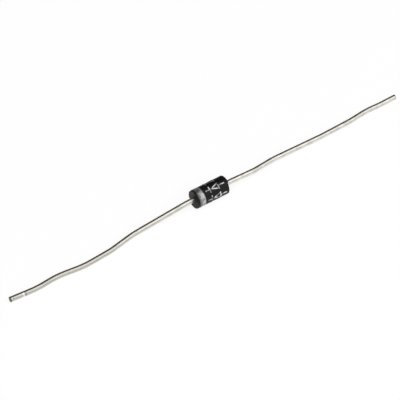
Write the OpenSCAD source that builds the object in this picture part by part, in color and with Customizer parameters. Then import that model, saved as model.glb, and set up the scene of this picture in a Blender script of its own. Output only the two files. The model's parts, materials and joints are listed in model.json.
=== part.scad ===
// Axial rectifier diode: a moulded body on two bent wire leads, lying at rest.
// X runs along the body from the cathode (-X) to the anode (+X), Z is up, and the
// origin is on the table under the middle of the body.

/* [Body] */
// Length of the moulded body over both mould halves
body_l = 5.25; // [4.9:0.05:8]
// Diameter of the moulded body
body_d = 2.6; // [2.4:0.05:4]
// Radius of the rounded edge at each end
end_r = 0.12; // [0.05:0.01:0.3]
// How far one mould half sits along the body from the other
mould_slip = 0.15; // [0.05:0.01:0.25]
// Turn of the mould's parting plane about the body's axis, in degrees
parting_turn = 40; // [0:5:180]

/* [Leads] */
// Diameter of the wire
lead_d = 0.75; // [0.5:0.05:0.85]
// Reach of the cathode lead out of the body
cathode_reach = 29.2; // [24:0.1:40]
// Reach of the anode lead out of the body
anode_reach = 29.7; // [24:0.1:40]
// Radius of every bend, at the wire's centre
bend_r = 12; // [6:1:16]
// Diameter of the nail head upset on the inner end of each lead
head_d = 1.4; // [1.2:0.05:1.6]
// Thickness of the nail head
head_t = 0.3; // [0.2:0.05:0.5]
// Diameter of the neck where it meets the nail head
neck_d = 1.05; // [0.9:0.05:1.15]
// Length of the taper from the neck down to the wire
neck_l = 0.2; // [0.1:0.05:0.4]

/* [Chip] */
// Side of the square silicon die
die_w = 1; // [0.7:0.05:1.05]
// Thickness of the die
die_t = 0.25; // [0.15:0.05:0.4]
// Diameter of the solder disc on each face of the die
solder_d = 0.9; // [0.6:0.05:1]
// Thickness of each solder disc
solder_t = 0.05; // [0.03:0.01:0.1]
// Diameter of the silicone bead around the die
coat_d = 1.9; // [1.75:0.05:2.1]
// How far the bead laps over the rim of each nail head
coat_lap = 0.2; // [0.1:0.05:0.25]

/* [Printing] */
// Thickness of the printed ink
ink_t = 0.02; // [0.01:0.01:0.04]
// Width of the band that marks the cathode end
band_w = 1; // [0.6:0.05:1.2]
// Bare length between the rounded end and the band
band_inset = 0.03; // [0:0.01:0.2]
// Length of the printed diode symbol
symbol_l = 3; // [2:0.1:3.3]
// Width of the symbol, measured around the body
symbol_w = 0.95; // [0.6:0.05:1.1]
// Width of the symbol's lines
symbol_line = 0.15; // [0.1:0.01:0.18]
// Gap between the band and the symbols
symbol_gap = 0.3; // [0.1:0.05:0.4]
// Number of symbols around the body
symbol_count = 6; // [3:1:6]
// Turn of the first symbol about the body's axis, in degrees from the top
symbol_turn = 28; // [0:1:120]

/* [Hidden] */
$fn = 96;
body_r = body_d / 2;
lead_r = lead_d / 2;
// The printed band is what touches the table, so the axis lies this high
axis_z = body_r + ink_t;
half_l = body_l - mould_slip;
// Inner face of each nail head, and the start of the plain wire
head_x = die_t / 2 + solder_t;
wire_x = head_x + head_t + neck_l;
band_x = -body_l / 2 + mould_slip + end_r + band_inset;
symbol_x = band_x + band_w + symbol_gap;

// Kinks of each lead: reach out of the body, sideways drift, and height as a share
// from lying on the table (0) up to the body's axis (1). The last point is the cut end.
// On a longer or shorter lead, the reach and the drift of every kink grow or shrink alike.
cathode_kinks = [
    [1.2, 0, 1], [9.8, -0.1, 0.28], [13.6, -0.65, 0], [18, -0.95, 0],
    [22, -0.45, 0], [25.2, -0.75, 0], [29.2, -0.4, 0]
];
anode_kinks = [
    [1.2, 0, 1], [4.8, 0, 0.82], [8.2, 0.4, 0.68], [16.4, 0.5, 0.3],
    [21.6, 0.8, 0.1], [24.6, 1.2, 0], [27, 1.1, 0], [29.7, 1.15, 0]
];

function unit(v) = v / norm(v);

// Points of a lead in its own frame: x outward, from the neck of the nail head. side is
// 1 if the drift is towards +Y in that frame, and -1 if it is the other way.
function lead_route(side, kinks, reach) =
    let (spread = reach / kinks[len(kinks) - 1][0])
    concat(
        [[wire_x, 0, axis_z]],
        [for (k = kinks) [
            body_l / 2 + k[0] * spread,
            side * k[1] * spread,
            lead_r + k[2] * (axis_z - lead_r)
        ]]
    );

function run(p, i) = unit(p[i + 1] - p[i]);

function bend_angle(p, i) =
    i == 0 || i == len(p) - 1 ? 0 : acos(run(p, i - 1) * run(p, i));

// How much of a run the bend at point i takes up
function bend_share(p, i) = bend_r * tan(bend_angle(p, i) / 2);

// Puts a shape that was made along Z along the body's axis
module along_x() {
    translate([0, 0, axis_z]) rotate([0, 90, 0]) children();
}

// Where the wire heads after a bend of this angle towards +Y
module after_bend(angle) {
    translate([bend_r * sin(angle), bend_r * (1 - cos(angle)), 0]) rotate([0, 0, angle])
        children();
}

// One bend of the wire, cut off square where the next run starts
module bend(angle) {
    spare = 2;
    difference() {
        translate([0, bend_r, 0]) rotate([0, 0, -90])
            rotate_extrude(angle = angle + spare) translate([bend_r, 0]) circle(d = lead_d);
        after_bend(angle) translate([0, -lead_d, -lead_d]) cube(2 * lead_d);
    }
}

// The wire from point i on: a straight run along +X, a bend, and the rest of the wire.
// normal is the direction that the frame's Z axis has before this run.
module wire(p, i, normal) {
    length = norm(p[i + 1] - p[i]) - bend_share(p, i) - bend_share(p, i + 1);
    rotate([0, 90, 0]) cylinder(h = length, d = lead_d);
    if (i + 2 < len(p)) {
        hinge = unit(cross(run(p, i), run(p, i + 1)));
        roll = atan2(cross(normal, hinge) * run(p, i), normal * hinge);
        angle = bend_angle(p, i + 1);
        translate([length, 0, 0]) rotate([roll, 0, 0]) {
            bend(angle);
            after_bend(angle) wire(p, i + 1, hinge);
        }
    }
}

// Nail head and neck, standing on the head's inner face
module nail_head() {
    rotate_extrude()
        polygon([
            [0, 0], [head_d / 2, 0], [head_d / 2, head_t], [neck_d / 2, head_t],
            [lead_r, head_t + neck_l], [0, head_t + neck_l]
        ]);
}

// The inner part of both leads, as the moulding closes round it
module lead_roots() {
    for (side = [-1, 1]) {
        along_x() rotate([90 - 90 * side, 0, 0]) translate([0, 0, head_x]) {
            nail_head();
            translate([0, 0, head_t + neck_l]) cylinder(h = body_l, d = lead_d);
        }
    }
}

// A whole lead: side is 1 for the one towards +X, and -1 for the one towards -X
module lead(side, kinks, reach) {
    p = lead_route(side, kinks, reach);
    rotate([0, 0, 90 - 90 * side]) {
        along_x() translate([0, 0, head_x]) nail_head();
        translate(p[0]) wire(p, 0, [0, 0, 1]);
    }
}

// Half of the body as one mould half forms it: a half round with rounded end edges
module mould_half() {
    rotate_extrude(angle = 180) {
        translate([0, -half_l / 2]) square([body_r - end_r, half_l]);
        translate([0, end_r - half_l / 2]) square([body_r, half_l - 2 * end_r]);
        for (end = [-1, 1]) {
            translate([body_r - end_r, end * (half_l / 2 - end_r)]) circle(r = end_r);
        }
    }
}

// Outer form of the silicone bead: an arc from one nail head's rim to the other's
module bead_form() {
    half_w = head_x + coat_lap;
    rise = (coat_d - head_d) / 2;
    arc_r = (half_w * half_w + rise * rise) / (2 * rise);
    core_r = coat_d / 2 - arc_r;
    // Inside the nail heads the form stops short of their backs
    trim = head_x + (coat_lap + head_t) / 2;
    rotate_extrude() {
        intersection() {
            translate([core_r, 0]) circle(r = arc_r);
            translate([0, -trim]) square([coat_d, 2 * trim]);
        }
        translate([0, -half_w]) square([core_r, 2 * half_w]);
    }
}

module epoxy_body() {
    color([0.07, 0.07, 0.07]) difference() {
        along_x() rotate([0, 0, parting_turn]) {
            translate([0, 0, mould_slip / 2]) mould_half();
            translate([0, 0, -mould_slip / 2]) rotate([0, 0, 180]) mould_half();
        }
        along_x() bead_form();
        lead_roots();
    }
}

module cathode_lead() {
    color([0.8, 0.79, 0.76]) lead(-1, cathode_kinks, cathode_reach);
}

module anode_lead() {
    color([0.8, 0.79, 0.76]) lead(1, anode_kinks, anode_reach);
}

module silicon_die() {
    color([0.35, 0.36, 0.42]) translate([0, 0, axis_z])
        cube([die_t, die_w, die_w], center = true);
}

module solder_disc() {
    color([0.6, 0.6, 0.62]) translate([0, 0, die_t / 2]) cylinder(h = solder_t, d = solder_d);
}

module cathode_solder() {
    along_x() rotate([180, 0, 0]) solder_disc();
}

module anode_solder() {
    along_x() solder_disc();
}

module junction_coating() {
    color([0.85, 0.83, 0.78]) difference() {
        along_x() bead_form();
        lead_roots();
        silicon_die();
        cathode_solder();
        anode_solder();
    }
}

// A sleeve of ink on the body, from x on
module ink_sleeve(x, length) {
    translate([x, 0, 0]) along_x() difference() {
        cylinder(h = length, r = body_r + ink_t);
        translate([0, 0, -1]) cylinder(h = length + 2, r = body_r);
    }
}

module cathode_band() {
    color([0.68, 0.69, 0.7]) ink_sleeve(band_x, band_w);
}

// Plain rectifier symbol, flat: a line, the bar, an open triangle and a line out of it
module symbol_outline() {
    bar_x = symbol_l * 0.2;
    apex_x = bar_x + symbol_line / 2;
    base_x = symbol_l * 0.7;
    half_w = symbol_w / 2;
    // Half angle at the triangle's apex, and the inner edge's height at a given x
    lean = atan(half_w / (base_x - apex_x));
    function inner_y(x) = (x - apex_x) * tan(lean) - symbol_line / cos(lean);
    inner_x = base_x - symbol_line;
    translate([0, -symbol_line / 2]) square([bar_x + symbol_line / 2, symbol_line]);
    translate([bar_x, -half_w]) square([symbol_line, symbol_w]);
    difference() {
        polygon([[apex_x, 0], [base_x, half_w], [base_x, -half_w]]);
        polygon([
            [apex_x + symbol_line / sin(lean), 0],
            [inner_x, inner_y(inner_x)], [inner_x, -inner_y(inner_x)]
        ]);
    }
    translate([base_x - symbol_line / 2, -symbol_line / 2])
        square([symbol_l - base_x + symbol_line / 2, symbol_line]);
}

module polarity_print() {
    color([0.82, 0.82, 0.82]) intersection() {
        ink_sleeve(symbol_x, symbol_l);
        translate([symbol_x, 0, axis_z]) for (i = [0 : symbol_count - 1]) {
            rotate([symbol_turn + i * 360 / symbol_count, 0, 0])
                linear_extrude(body_d) symbol_outline();
        }
    }
}

epoxy_body();
cathode_lead();
anode_lead();
silicon_die();
cathode_solder();
anode_solder();
junction_coating();
cathode_band();
polarity_print();
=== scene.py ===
"""Looks of an axial rectifier diode: moulded body, inked band and symbols, tinned leads."""

import json
import math

import bmesh
import bpy
from mathutils import Matrix, Vector, noise


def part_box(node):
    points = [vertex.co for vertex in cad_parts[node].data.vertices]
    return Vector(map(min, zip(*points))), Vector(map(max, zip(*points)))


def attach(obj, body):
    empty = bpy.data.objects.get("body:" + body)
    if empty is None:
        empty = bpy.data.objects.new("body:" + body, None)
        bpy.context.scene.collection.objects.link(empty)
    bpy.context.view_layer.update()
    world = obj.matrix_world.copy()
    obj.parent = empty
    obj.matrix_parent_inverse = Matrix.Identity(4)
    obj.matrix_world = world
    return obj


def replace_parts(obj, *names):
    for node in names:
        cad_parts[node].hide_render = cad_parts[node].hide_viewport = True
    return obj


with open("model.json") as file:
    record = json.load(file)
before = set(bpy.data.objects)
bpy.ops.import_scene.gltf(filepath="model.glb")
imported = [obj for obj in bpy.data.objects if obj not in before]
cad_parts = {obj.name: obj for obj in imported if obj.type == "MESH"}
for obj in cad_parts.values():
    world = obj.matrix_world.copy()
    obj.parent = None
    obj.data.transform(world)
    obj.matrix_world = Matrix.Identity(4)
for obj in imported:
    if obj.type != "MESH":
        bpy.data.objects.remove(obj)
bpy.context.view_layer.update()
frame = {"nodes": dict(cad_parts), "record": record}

MM = 0.001
TURN = 2 * math.pi
UP = Vector((0, 0, 1))


def in_mm(corners):
    """Corners of a box in metres, turned into millimetres."""
    return [corner / MM for corner in corners]


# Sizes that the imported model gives, in millimetres
body_low, body_high = in_mm(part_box("epoxy_body"))
band_low, band_high = in_mm(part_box("cathode_band"))
bead_high = in_mm(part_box("junction_coating"))[1]
BODY_R = (body_high.y - body_low.y) / 2
BODY_END = body_high.x
AXIS_Z = (body_high.z + body_low.z) / 2
INK_R = (band_high.z - band_low.z) / 2
BAND_START = band_low.x
BAND_END = band_high.x
BEAD_R = bead_high.y
BEAD_X = bead_high.x
HEAD_X = in_mm(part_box("anode_lead"))[0].x
LEAD_R = frame["record"]["mounts"][0]["dims"]["r_mm"]

# Sizes that repeat the part's source, in millimetres
MOULD_SLIP = 0.15
PARTING_TURN = math.radians(40)
END_R = 0.12
HEAD_R = 0.7
HEAD_T = 0.3
NECK_R = 0.525
NECK_L = 0.2
BEND_R = 12.0

# Kinks of each lead: reach out of the body, sideways drift, and height as a share from
# lying on the table (0) up to the body's axis (1). The last is the cut end.
CATHODE_KINKS = [
    (1.2, 0, 1), (9.8, -0.1, 0.28), (13.6, -0.65, 0), (18, -0.95, 0),
    (22, -0.45, 0), (25.2, -0.75, 0), (29.2, -0.4, 0),
]
ANODE_KINKS = [
    (1.2, 0, 1), (4.8, 0, 0.82), (8.2, 0.4, 0.68), (16.4, 0.5, 0.3),
    (21.6, 0.8, 0.1), (24.6, 1.2, 0), (27, 1.1, 0), (29.7, 1.15, 0),
]
CATHODE_TIP = BODY_END + CATHODE_KINKS[-1][0]
ANODE_TIP = BODY_END + ANODE_KINKS[-1][0]

# Dents in each wire: how far from the cut end, at which turn from level over the top in
# degrees, how deep, and how far each reaches along the wire (mm) and round it (radians).
# The first one is the nick near the cathode's cut end, whose bright colour in the wire's finish
# is a painted highlight, with a stain just behind it.
NICK_AT = 1.9
STAIN_AT = 2.2
CATHODE_DENTS = [(NICK_AT, 140, 0.012, 0.2, 0.6), (17.5, 120, 0.02, 0.2, 0.5)]
ANODE_DENTS = [(9.0, 80, 0.02, 0.3, 0.5), (20.0, 95, 0.015, 0.25, 0.5)]

# How far the cutter left each end leaning, in degrees
CATHODE_CUT_LEAN = -1
ANODE_CUT_LEAN = -5

# The rounded lip of a cut end: how far back from it, and the share of the wire's radius
CUT_LIP = ((0.05, 1.0), (0.015, 0.96), (0.0, 0.88))

# Colours, as linear red, green and blue
EPOXY_DEEP = (0.003, 0.003, 0.0033)
EPOXY_WORN = (0.008, 0.0078, 0.008)
EPOXY_RUBBED = (0.028, 0.027, 0.028)
EPOXY_FILLER = (0.10, 0.095, 0.095)
# End faces: painted shaded grey below the parting plane, and painted lit brown above it
END_SHADED_GREY = (0.018, 0.018, 0.016)
END_LIT_BROWN = (0.085, 0.062, 0.064)
# Near black of a painted shadow on the cathode end's face
END_PAINTED_SHADOW = (0.001, 0.001, 0.001)
TIN_BRIGHT = (0.78, 0.768, 0.72)
TIN_BLOOM = (0.63, 0.615, 0.565)
TIN_DARKER_GREY = (0.42, 0.41, 0.36)
TIN_DRAWN = (0.46, 0.44, 0.385)
TIN_HOLE = (0.12, 0.11, 0.09)
# Bright tin of a painted highlight at the nick
TIN_NICK_HIGHLIGHT = (0.86, 0.85, 0.82)
TIN_STAIN = (0.22, 0.21, 0.18)
TIN_CUT = (0.06, 0.058, 0.05)
SILVER_THIN = (0.16, 0.16, 0.163)
SILVER_THICK = (0.56, 0.56, 0.565)
SILVER_FLAKE = (0.66, 0.66, 0.66)
SILVER_RUBBED = (0.06, 0.06, 0.058)
SILVER_BARE = (0.03, 0.03, 0.03)
WHITE_THIN = (0.22, 0.22, 0.225)
WHITE_THICK = (0.9, 0.9, 0.9)
WHITE_BARE = (0.05, 0.05, 0.05)
FLOOR_WHITE = (0.93, 0.93, 0.93)
CARD_DARK = (0.058, 0.054, 0.045)


# ---------------------------------------------------------------- shader maths


class Amount:
    """A number that varies over a surface, with ordinary arithmetic."""

    def __init__(self, finish, socket):
        self.finish = finish
        self.socket = socket

    def _math(self, operation, *values):
        return self.finish.node("Math", {"operation": operation}, values)

    def __add__(self, other):
        return self._math("ADD", self, other)

    def __sub__(self, other):
        return self._math("SUBTRACT", self, other)

    def __rsub__(self, other):
        return self._math("SUBTRACT", other, self)

    def __mul__(self, other):
        return self._math("MULTIPLY", self, other)

    def __neg__(self):
        return self * -1

    __radd__ = __add__
    __rmul__ = __mul__

    def most(self, other):
        return self._math("MAXIMUM", self, other)

    def least(self, other):
        return self._math("MINIMUM", self, other)

    def size(self):
        return self._math("ABSOLUTE", self)

    def over(self, start, end):
        """0 below start, 1 above end, and a smooth rise between."""
        return self.finish.node(
            "MapRange",
            {"interpolation_type": "SMOOTHSTEP"},
            {"Value": self, "From Min": start, "From Max": end},
        )


class Finish:
    """A procedural material: one Principled shader and the nodes that feed it."""

    def __init__(self, name):
        self.material = bpy.data.materials.new(name)
        self.material.use_nodes = True
        self.tree = self.material.node_tree
        self.tree.nodes.clear()
        self.shader = self.tree.nodes.new("ShaderNodeBsdfPrincipled")
        self.out = self.tree.nodes.new("ShaderNodeOutputMaterial")
        self.tree.links.new(self.shader.outputs[0], self.out.inputs[0])
        place = self.node("TexCoord", out="Object")
        self.place = self.node(
            "VectorMath", {"operation": "SCALE"}, {"Vector": place, "Scale": 1 / MM}
        )

    def feed(self, socket, value):
        if isinstance(value, Amount):
            self.tree.links.new(value.socket, socket)
        elif isinstance(value, (tuple, list)) and socket.type == "RGBA":
            socket.default_value = (*value, 1)[:4]
        else:
            socket.default_value = value

    def node(self, kind, settings=(), sockets=(), out=0):
        """Adds a node: its settings first, then the values or links of its sockets."""
        made = self.tree.nodes.new("ShaderNode" + kind)
        for name, value in dict(settings).items():
            setattr(made, name, value)
        pairs = sockets.items() if isinstance(sockets, dict) else enumerate(sockets)
        for name, value in pairs:
            self.feed(made.inputs[name], value)
        return Amount(self, made.outputs[out])

    def parts(self, vector=None):
        """The x, y and z of a vector, or else of the surface's own place in millimetres."""
        split = self.node("SeparateXYZ", sockets=[vector or self.place]).socket.node
        return [Amount(self, socket) for socket in split.outputs]

    def stretched(self, x, y, z):
        """The surface's place, scaled along each axis."""
        return self.node("VectorMath", {"operation": "MULTIPLY"}, [self.place, (x, y, z)])

    def clouds(self, scale, detail=4, rough=0.5, place=None, warp=0):
        """Noise from 0 to 1 around 0.5, scale being features per millimetre."""
        return self.node("TexNoise", {}, {
            "Vector": place or self.place, "Scale": scale, "Detail": detail,
            "Roughness": rough, "Distortion": warp,
        })

    def specks(self, scale, core, rim):
        """Scattered spots, scale of them per millimetre: 1 inside core, and 0 outside rim."""
        return 1 - self.node("TexVoronoi", {}, {
            "Vector": self.place, "Scale": scale, "Randomness": 1,
        }).over(core, rim)

    def blend(self, amount, first, second):
        """Colour first where amount is 0, and second where it is 1."""
        made = self.node("Mix", {"data_type": "RGBA"}, out=2)
        inputs = made.socket.node.inputs
        self.feed(inputs[0], amount)
        self.feed(inputs[6], first)
        self.feed(inputs[7], second)
        return made

    def relief(self, height, depth, strength, under=None):
        """A bump whose full height is depth, in millimetres."""
        sockets = {"Height": height, "Distance": depth * MM, "Strength": strength}
        if under:
            sockets["Normal"] = under
        return self.node("Bump", {}, sockets)

    def set(self, **sockets):
        for name, value in sockets.items():
            self.feed(self.shader.inputs[name.replace("_", " ")], value)
        return self.material


# -------------------------------------------------------------------- finishes


def moulded_epoxy():
    """Black filled epoxy: fine grain and grey rub marks; end faces painted lit brown above the
    parting plane and shaded grey below, with a painted shadow on the cathode end's front top.
    """
    f = Finish("moulded_epoxy")
    x, y, z = f.parts()
    rise = z - AXIS_Z
    grain = f.clouds(14, 6, 0.65)
    blotch = f.clouds(1.6, 3, 0.5)
    rubbed = f.clouds(5, 5, 0.7, f.stretched(0.4, 1, 1)).over(0.56, 0.72)
    filler = f.specks(6, 0.06, 0.12)
    # 0 below the parting plane and 1 above it: the end faces are painted lighter brown above it,
    #                                           as lit, and darker grey below, as shaded
    across = y * math.cos(PARTING_TURN) + rise * math.sin(PARTING_TURN)
    lit_upper_half = across.over(-0.02, 0.02)
    # Painted shadow: near black over the front top of the cathode end's face, beside the lead
    # and the step at the parting plane
    painted_shadow = (-x).over(0, 1) * (-y).over(-0.12, 0.14) * rise.over(0.05, 0.3)
    endwise = f.parts(f.node("TexCoord", out="Normal"))[0]
    face = endwise.size().over(0.6, 0.85)
    black = f.blend(blotch, EPOXY_DEEP, EPOXY_WORN)
    black = f.blend(rubbed * 0.4, black, EPOXY_RUBBED)
    ends = f.blend(lit_upper_half, END_SHADED_GREY, END_LIT_BROWN)
    ends = f.blend(painted_shadow * 0.95, ends, END_PAINTED_SHADOW)
    colour = f.blend(face * (0.55 + 0.45 * grain), black, ends)
    colour = f.blend(filler * 0.3, colour, EPOXY_FILLER)
    rough = 0.38 + 0.22 * grain + 0.14 * face
    fine = f.relief(grain, 0.012, 0.5)
    bump = f.relief(blotch, 0.03, 0.5, under=fine)
    return f.set(Base_Color=colour, Roughness=rough, Normal=bump, Specular_IOR_Level=0.22)


def tinned_wire():
    """Drawn copper, dip tinned: bloom, draw lines, scuffs, pin holes, a nick with a painted
    highlight, dark cut ends.
    """
    f = Finish("tinned_wire")
    x, y = f.parts()[:2]
    lines = f.clouds(9, 4, 0.6, f.stretched(0.05, 1, 1))
    bloom = f.clouds(1.1, 4, 0.55)
    scuff = f.clouds(6, 5, 0.7, f.stretched(0.35, 1, 1)).over(0.6, 0.7)
    holes = f.specks(1.3, 0.05, 0.1) * bloom.over(0.5, 0.6)
    cut_left = (-x).over(CATHODE_TIP - 0.14, CATHODE_TIP - 0.09)
    cut_right = x.over(ANODE_TIP - 0.05, ANODE_TIP - 0.03)
    front = (-y).over(0.5, 0.72)
    # Painted highlight: a bright spot on the front of the cathode wire, over the nick's real
    # dent
    nick_highlight = front * (1 - (x + (CATHODE_TIP - NICK_AT)).size().over(0.06, 0.16))
    stain = front * (1 - (x + (CATHODE_TIP - STAIN_AT)).size().over(0.06, 0.2))
    tin = f.blend(bloom.over(0.35, 0.7), TIN_BRIGHT, TIN_BLOOM)
    # Darker grey along the wire towards the cathode's cut end
    tin = f.blend((-x).over(-8, 26) * 0.62, tin, TIN_DARKER_GREY)
    tin = f.blend(lines.over(0.4, 0.75) * 0.35, tin, TIN_DRAWN)
    tin = f.blend(holes * 0.8, tin, TIN_HOLE)
    tin = f.blend(nick_highlight * 0.8, tin, TIN_NICK_HIGHLIGHT)
    tin = f.blend(stain * 0.6, tin, TIN_STAIN)
    tin = f.blend(cut_left.most(cut_right * 0.3) * 0.9, tin, TIN_CUT)
    rough = 0.24 + 0.12 * bloom + 0.2 * scuff + 0.1 * holes
    drawn = f.relief(lines, 0.006, 0.6)
    bump = f.relief(scuff + bloom * 0.5, 0.01, 0.5, under=drawn)
    return f.set(Base_Color=tin, Metallic=1, Roughness=rough, Normal=bump)


def silver_ink():
    """Flaked silver ink, rolled on thin: mottled, rubbed at the rim, and open at its edges."""
    f = Finish("silver_ink")
    x = f.parts()[0]
    mottle = f.clouds(2.4, 5, 0.65, warp=0.6)
    flake = f.clouds(16, 3, 0.7)
    thin = f.clouds(7, 4, 0.7, f.stretched(1, 0.6, 0.6))
    edge = 1 - (x - BAND_START).least(BAND_END - x).over(0.0, 0.16)
    rim_side = 1 - (x - BAND_START).over(0.05, 0.5)
    bare = (thin + edge * 0.28).over(0.62, 0.74)
    ink = f.blend(mottle.over(0.34, 0.64), SILVER_THIN, SILVER_THICK)
    ink = f.blend(flake.over(0.5, 0.8) * 0.35, ink, SILVER_FLAKE)
    ink = f.blend(rim_side * (0.45 + 0.6 * mottle), ink, SILVER_RUBBED)
    ink = f.blend(bare * 0.85, ink, SILVER_BARE)
    bump = f.relief(flake * 0.5 + mottle, 0.012, 0.5)
    return f.set(
        Base_Color=ink, Metallic=0.7 * (1 - bare), Roughness=0.36 + 0.16 * thin, Normal=bump
    )


def white_ink():
    """Pad-printed off-white ink: dense in places, thin and broken in others."""
    f = Finish("white_ink")
    y, z = f.parts()[1:]
    dense = f.clouds(2.1, 3, 0.5)
    thin = f.clouds(9, 4, 0.7)
    faint = y.over(-0.45, 0.1) * (z - AXIS_Z).over(0.1, 0.7)
    bare = (thin * 0.6 + (1 - dense) * 0.5 + faint * 0.16).over(0.52, 0.68)
    ink = f.blend(dense.over(0.38, 0.62), WHITE_THIN, WHITE_THICK)
    ink = f.blend(bare * 0.8, ink, WHITE_BARE)
    bump = f.relief(thin, 0.01, 0.4)
    return f.set(Base_Color=ink, Roughness=0.5 + 0.1 * thin, Normal=bump)


def plain_grained(name, first, second, scale, rough, metal=0.0):
    """A finish for a sealed-in piece: two mixed shades and a fine grain."""
    f = Finish(name)
    grain = f.clouds(scale, 4, 0.6)
    bump = f.relief(grain, 0.004, 0.5)
    return f.set(
        Base_Color=f.blend(grain.over(0.3, 0.7), first, second),
        Roughness=rough + 0.15 * grain, Metallic=metal, Normal=bump,
    )


# ------------------------------------------------------------------ mesh making


def mesh_piece(name, points, faces, material, sharp=40):
    """Makes a shaded piece from points in millimetres, and lets it ride on the part."""
    mesh = bpy.data.meshes.new(name)
    mesh.from_pydata([Vector(p) * MM for p in points], [], faces)
    work = bmesh.new()
    work.from_mesh(mesh)
    bmesh.ops.recalc_face_normals(work, faces=work.faces)
    work.to_mesh(mesh)
    work.free()
    mesh.shade_smooth()
    mesh.set_sharp_from_angle(angle=math.radians(sharp))
    mesh.materials.append(material)
    piece = bpy.data.objects.new(name, mesh)
    bpy.context.scene.collection.objects.link(piece)
    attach(piece, "root")
    return piece


def lofted(rings, closed=False):
    """Points and faces of a skin over rings of equal size: joined end to end, or capped."""
    count = len(rings[0])
    points = [p for ring in rings for p in ring]
    faces = []
    last = len(rings) if closed else len(rings) - 1
    for i in range(last):
        here, there = i * count, (i + 1) % len(rings) * count
        for k in range(count):
            n = (k + 1) % count
            faces.append((here + k, here + n, there + n, there + k))
    if not closed:
        for start in (0, (len(rings) - 1) * count):
            ring = points[start:start + count]
            points.append(tuple(sum((Vector(p) for p in ring), Vector()) / count))
            for k in range(count):
                faces.append((start + k, start + (k + 1) % count, len(points) - 1))
    return points, faces


def ripple(point, scale, seed):
    """Smooth noise from -1 to 1 at a point in millimetres."""
    return noise.noise(Vector(point) * scale + Vector((seed, seed * 0.7, seed * 1.3)))


def on_body(x, radius, turn):
    """A point at this radius from the body's axis, turn being from +y over the top."""
    return (x, radius * math.cos(turn), AXIS_Z + radius * math.sin(turn))


# ---------------------------------------------------------------- moulded body


def arc(centre_x, centre_r, radius, start, end, steps):
    """Points of an arc in the plane of x and radius, angles in degrees from +x."""
    turns = [math.radians(start + (end - start) * i / steps) for i in range(steps + 1)]
    return [(centre_x + radius * math.cos(t), centre_r + radius * math.sin(t)) for t in turns]


def body_outline():
    """The body's section: (x, radius, share of the mould slip), from hole to hole and back."""
    end = BODY_END - MOULD_SLIP / 2
    # Round each hole the face is drawn in a little towards the wire
    collar, sunk = 0.07, 0.015
    hole_r = LEAD_R + collar
    flat_r = BODY_R - END_R
    face_steps, rim_steps, side_steps, bow_steps = 10, 8, 60, 24
    face = [(end - sunk, LEAD_R)]
    face += [(end, hole_r + (flat_r - hole_r) * i / face_steps) for i in range(face_steps + 1)]
    rim = arc(end - END_R, flat_r, END_R, 0, 90, rim_steps)[1:]
    span = 2 * (end - END_R)
    side = [(end - END_R - span * i / side_steps, BODY_R) for i in range(1, side_steps)]
    right = face + rim
    left = [(-x, r) for x, r in reversed(right)]
    # The cavity that the leads and the silicone bead fill
    rise = BEAD_R - HEAD_R
    bow_r = (BEAD_X ** 2 + rise ** 2) / (2 * rise)
    lean = math.degrees(math.asin(BEAD_X / bow_r))
    bow = arc(0, BEAD_R - bow_r, bow_r, 90 + lean, 90 - lean, bow_steps)
    neck_end = HEAD_X + HEAD_T
    half = [(neck_end, HEAD_R), (neck_end, NECK_R), (neck_end + NECK_L, LEAD_R)]
    cavity = [(-x, r) for x, r in reversed(half)] + bow + half
    outer = right + side + left
    return [(x, r, 1.0) for x, r in outer] + [(x, r, 0.0) for x, r in cavity]


def skin_wear(place):
    """How far the skin lies inside its full radius: ripples, and chips by the end edges."""
    chip_reach, chip_depth = 0.2, 0.05
    ripples = abs(ripple(place, 0.9, 3)) * 0.006 + abs(ripple(place, 4, 8)) * 0.003
    to_edge = abs(abs(place.x) - (BODY_END - MOULD_SLIP / 2))
    chip = max(0, ripple(place, 2.6, 21) - 0.25) * max(0, 1 - to_edge / chip_reach)
    return 0.001 + ripples + chip * chip_depth


def moulded_body(material):
    """The casting: its section turned about the axis, one half slipped along the other."""
    # Each half stops just short of the seam, so that the step between them is a steep wall
    seam = math.radians(0.45)
    sweep = math.pi - 2 * seam
    steps = 96
    turns = []
    for half in (0, 1):
        start = PARTING_TURN - math.pi / 2 + half * math.pi + seam
        turns += [(start + sweep * i / steps, 0.5 - half) for i in range(steps + 1)]
    hole_rim = 0.05
    rings = []
    for x, r, slips in body_outline():
        on_skin = slips and r > LEAD_R + hole_rim
        ring = []
        for turn, side in turns:
            place = Vector((x, r * math.cos(turn), r * math.sin(turn)))
            radius = r - skin_wear(place) if on_skin else r
            end_wear = 0.001 + abs(ripple(place, 3, 5)) * 0.006
            shift = side * MOULD_SLIP - math.copysign(end_wear, x)
            ring.append(on_body(x + shift * slips, radius, turn))
        rings.append(ring)
    points, faces = lofted(rings, closed=True)
    piece = mesh_piece("moulded_body", points, faces, material)
    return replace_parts(piece, "epoxy_body")


# ----------------------------------------------------------------------- leads


def lead_corners(side, kinks):
    """Corners of a lead's centre line, from its nail head out to its cut end."""
    start = Vector((side * HEAD_X, 0, AXIS_Z))
    rise = AXIS_Z - LEAD_R
    return [start] + [
        Vector((side * (BODY_END + reach), drift, LEAD_R + share * rise))
        for reach, drift, share in kinks
    ]


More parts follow.
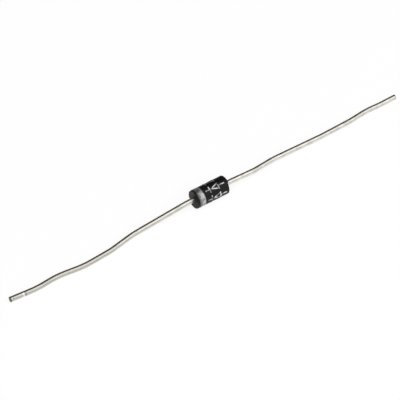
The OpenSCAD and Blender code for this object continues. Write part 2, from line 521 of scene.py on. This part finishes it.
def lead_line(corners):
    """The centre line as close points, with every corner rounded to the bend radius."""
    longest_step = 0.4
    bend_step = math.radians(1)
    line = [corners[0]]

    def run_to(end):
        start = line[-1]
        steps = max(1, math.ceil((end - start).length / longest_step))
        line.extend(start.lerp(end, i / steps) for i in range(1, steps + 1))

    for before, corner, after in zip(corners, corners[1:], corners[2:]):
        way_in = (corner - before).normalized()
        way_out = (after - corner).normalized()
        bend = way_in.angle(way_out)
        run_to(corner - way_in * BEND_R * math.tan(bend / 2))
        inward = (way_out - way_in * way_in.dot(way_out)).normalized()
        start = line[-1]
        steps = max(3, math.ceil(bend / bend_step))
        for i in range(1, steps + 1):
            turn = bend * i / steps
            ahead, aside = BEND_R * math.sin(turn), BEND_R * (1 - math.cos(turn))
            line.append(start + way_in * ahead + inward * aside)
    run_to(corners[-1])
    return line


def lead_stations(line):
    """(place, radius) along a lead: the nail head's steps, then the plain wire."""
    edge = 0.04
    outward = (line[1] - line[0]).normalized()
    foot = line[0]
    head = [(0, HEAD_R - edge), (edge, HEAD_R), (HEAD_T - edge, HEAD_R), (HEAD_T, HEAD_R - edge)]
    neck = [(HEAD_T, NECK_R), (HEAD_T + NECK_L, LEAD_R)]
    stations = [(foot + outward * at, radius) for at, radius in head + neck]
    wire_from = HEAD_T + NECK_L + 0.05
    wire = [p for p in line if (p - foot).dot(outward) > wire_from]
    return stations + [(p, LEAD_R) for p in wire]


def spokes(ahead, count=48):
    """(turn, unit vector) all round a run of wire, from level and up over the top."""
    level = ahead.cross(UP).normalized()
    upright = level.cross(ahead)
    turns = [TURN * k / count for k in range(count)]
    return [(turn, level * math.cos(turn) + upright * math.sin(turn)) for turn in turns]


def wire_wear(spot, turn, to_tip, dents):
    """How far the wire's surface lies inside its full radius: wavy all over, and dented."""
    worn = abs(ripple(spot, 1.3, 2)) * 0.004 + abs(ripple(spot, 0.35, 9)) * 0.004
    for at, dent_turn, depth, reach, width in dents:
        along = (to_tip - at) / reach
        across = math.remainder(turn - math.radians(dent_turn), TURN) / width
        worn += depth * math.exp(-along * along - across * across)
    return worn


def tinned_lead(name, node, side, kinks, dents, cut_lean, material):
    """One lead, swept along its line, with dents and a cut end that leans."""
    stations = lead_stations(lead_line(lead_corners(side, kinks)))
    places = [place for place, _ in stations]
    steps = [(there - here).length for here, there in zip(places, places[1:])]
    rings = []
    for i, (place, radius) in enumerate(stations[:-1]):
        ahead = (places[i + 1] - places[max(i - 1, 0)]).normalized()
        to_tip = sum(steps[i:])
        rings.append([
            place + out * (radius - wire_wear(place + out * radius, turn, to_tip, dents))
            for turn, out in spokes(ahead)
        ])
    # The cutter leaves the end leaning, with a narrow rounded lip
    ahead = (places[-1] - places[-2]).normalized()
    lean = math.tan(math.radians(cut_lean))
    for back, share in CUT_LIP:
        rings.append([
            places[-1] + out * LEAD_R * share
            + ahead * (LEAD_R * (lean * math.cos(turn) - abs(lean)) - back)
            for turn, out in spokes(ahead)
        ])
    points, faces = lofted([[tuple(p) for p in ring] for ring in rings])
    piece = mesh_piece(name, points, faces, material)
    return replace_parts(piece, node)


# ------------------------------------------------------------------------- ink


def inked_band(material):
    """The band: a thin sleeve of ink, thinner towards edges that wander a little."""
    width = BAND_END - BAND_START
    feathered = 0.08
    steps = 192
    turns = [TURN * k / steps for k in range(steps)]
    rings = []
    for share in (0, 0.03, 0.08, 0.2, 0.35, 0.5, 0.65, 0.8, 0.92, 0.97, 1):
        film = min(1, min(share, 1 - share) / feathered)
        full_r = BODY_R - 0.004 + (INK_R - BODY_R + 0.003) * film
        inward = (1 if share < 0.5 else -1) * (abs(share - 0.5) * 2) ** 4
        ring = []
        for turn in turns:
            spot = Vector((share * 3, math.cos(turn) * 1.3, math.sin(turn) * 1.3))
            wander = abs(ripple(spot, 1.8, 6)) * 0.05 + abs(ripple(spot, 6, 4)) * 0.02
            radius = full_r - abs(ripple(spot, 3, 12)) * 0.004
            ring.append(on_body(BAND_START + width * share + wander * inward, radius, turn))
        rings.append(ring)
    # Its underside lies just inside the body's skin
    for share in (0.94, 0.06):
        x = BAND_START + width * share
        rings.append([on_body(x, BODY_R - 0.01, turn) for turn in turns])
    points, faces = lofted(rings, closed=True)
    piece = mesh_piece("silver_band", points, faces, material, sharp=50)
    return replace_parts(piece, "cathode_band")


# ------------------------------------------------------------------ the object


def coat(node, material):
    """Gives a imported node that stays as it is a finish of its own."""
    piece = frame["nodes"][node]
    piece.data.materials.clear()
    piece.data.materials.append(material)


tin = tinned_wire()
moulded_body(moulded_epoxy())
tinned_lead(
    "cathode_wire", "cathode_lead", -1, CATHODE_KINKS, CATHODE_DENTS, CATHODE_CUT_LEAN, tin
)
tinned_lead("anode_wire", "anode_lead", 1, ANODE_KINKS, ANODE_DENTS, ANODE_CUT_LEAN, tin)
inked_band(silver_ink())

coat("polarity_print", white_ink())
coat("silicon_die", plain_grained("silicon", (0.1, 0.1, 0.12), (0.2, 0.2, 0.23), 20, 0.2))
coat(
    "junction_coating",
    plain_grained("silicone", (0.6, 0.58, 0.52), (0.75, 0.73, 0.68), 5, 0.4),
)
solder = plain_grained("solder", (0.4, 0.4, 0.42), (0.6, 0.6, 0.61), 12, 0.35, metal=1.0)
for node in ("cathode_solder", "anode_solder"):
    coat(node, solder)


# ----------------------------------------------------------- floor and lighting

# How bright paper glows where it stands for the backdrop, and its shade in the weave's dips
GLOW_STRENGTH = 1.1
PAPER_WEAVE = 0.985


def paper(name, colour, glow=0):
    """Matt paper; glow is how much of it reads as plain white to the camera and in gloss."""
    f = Finish(name)
    weave = f.clouds(0.8, 3, 0.5)
    shade = f.blend(weave, colour, [c * PAPER_WEAVE for c in colour])
    f.set(Base_Color=shade, Roughness=0.9)
    if glow:
        rays = f.node("LightPath", out="Is Camera Ray")
        for kind in ("Is Glossy Ray", "Is Transmission Ray"):
            rays = rays.most(f.node("LightPath", out=kind))
        white = f.node("Emission", {}, {"Color": (1, 1, 1), "Strength": GLOW_STRENGTH})
        surface = f.node("MixShader", {}, [rays * glow])
        inputs = surface.socket.node.inputs
        f.tree.links.new(f.shader.outputs[0], inputs[1])
        f.feed(inputs[2], white)
        f.tree.links.new(surface.socket, f.out.inputs[0])
    return f.material


def flat_panel(name, width, depth, material, place=None):
    """A flat staged sheet, width along its x and depth along its y."""
    work = bmesh.new()
    bmesh.ops.create_grid(work, x_segments=8, y_segments=8, size=0.5)
    bmesh.ops.scale(work, vec=(width, depth, 1), verts=work.verts)
    mesh = bpy.data.meshes.new(name)
    work.to_mesh(mesh)
    work.free()
    mesh.materials.append(material)
    panel = bpy.data.objects.new(name, mesh)
    bpy.context.scene.collection.objects.link(panel)
    panel.matrix_world = place or Matrix()
    return panel


def facing(place, target):
    """A matrix at place whose -Z looks at target."""
    look = (Vector(target) - Vector(place)).to_track_quat("-Z", "Y")
    return Matrix.Translation(place) @ look.to_matrix().to_4x4()


def soft_box(name, place, width, depth, radiance):
    """An area light that faces the object, its power worked out from its size and radiance."""
    light = bpy.data.lights.new(name, "AREA")
    light.shape = "RECTANGLE"
    light.size, light.size_y = width, depth
    light.energy = radiance * math.pi * width * depth
    lamp = bpy.data.objects.new(name, light)
    lamp.matrix_world = facing(place, (0, 0, 0))
    bpy.context.scene.collection.objects.link(lamp)
    return lamp


def plain_sky(strength):
    """An even white world of this strength."""
    world = bpy.data.worlds.new("studio")
    world.use_nodes = True
    sky = world.node_tree.nodes["Background"]
    sky.inputs["Color"].default_value = (1, 1, 1, 1)
    sky.inputs["Strength"].default_value = strength
    bpy.context.scene.world = world


flat_panel("floor", 6, 6, paper("white_paper", FLOOR_WHITE, glow=0.8))
# The leads mirror this card as the dark line along their far side
flag = flat_panel(
    "flag", 1.8, 1.25, paper("dark_card", CARD_DARK), facing((0.1, 0.42, 0.38), (0, 0, 0.02))
)
flag.visible_camera = False
soft_box("overhead_front", (0.12, -0.32, 0.5), width=0.9, depth=0.8, radiance=0.98)
soft_box("camera_side_fill", (-0.6, -0.35, 0.25), width=0.5, depth=0.4, radiance=0.7)
plain_sky(0.5)


# ---------------------------------------------------------------------- camera

CAMERA_AZIMUTH = math.radians(-35.5)
CAMERA_HEIGHT = math.radians(44.5)
CAMERA_DISTANCE = 0.4


def aimed_camera():
    """A long lens that looks down at the middle of the body from its front left."""
    lens = bpy.data.cameras.new("camera")
    lens.sensor_width = 36
    lens.lens = 270.7
    lens.shift_x = -0.02275
    lens.shift_y = -0.01975
    lens.clip_start = 0.01
    lens.clip_end = 20
    back = Vector((
        math.sin(CAMERA_AZIMUTH) * math.cos(CAMERA_HEIGHT),
        -math.cos(CAMERA_AZIMUTH) * math.cos(CAMERA_HEIGHT),
        math.sin(CAMERA_HEIGHT),
    ))
    target = Vector((0, 0, AXIS_Z * MM))
    camera = bpy.data.objects.new("camera", lens)
    camera.matrix_world = facing(target + back * CAMERA_DISTANCE, target)
    bpy.context.scene.collection.objects.link(camera)
    return camera


bpy.context.scene.camera = aimed_camera()
bpy.context.scene.view_settings.view_transform = "Standard"
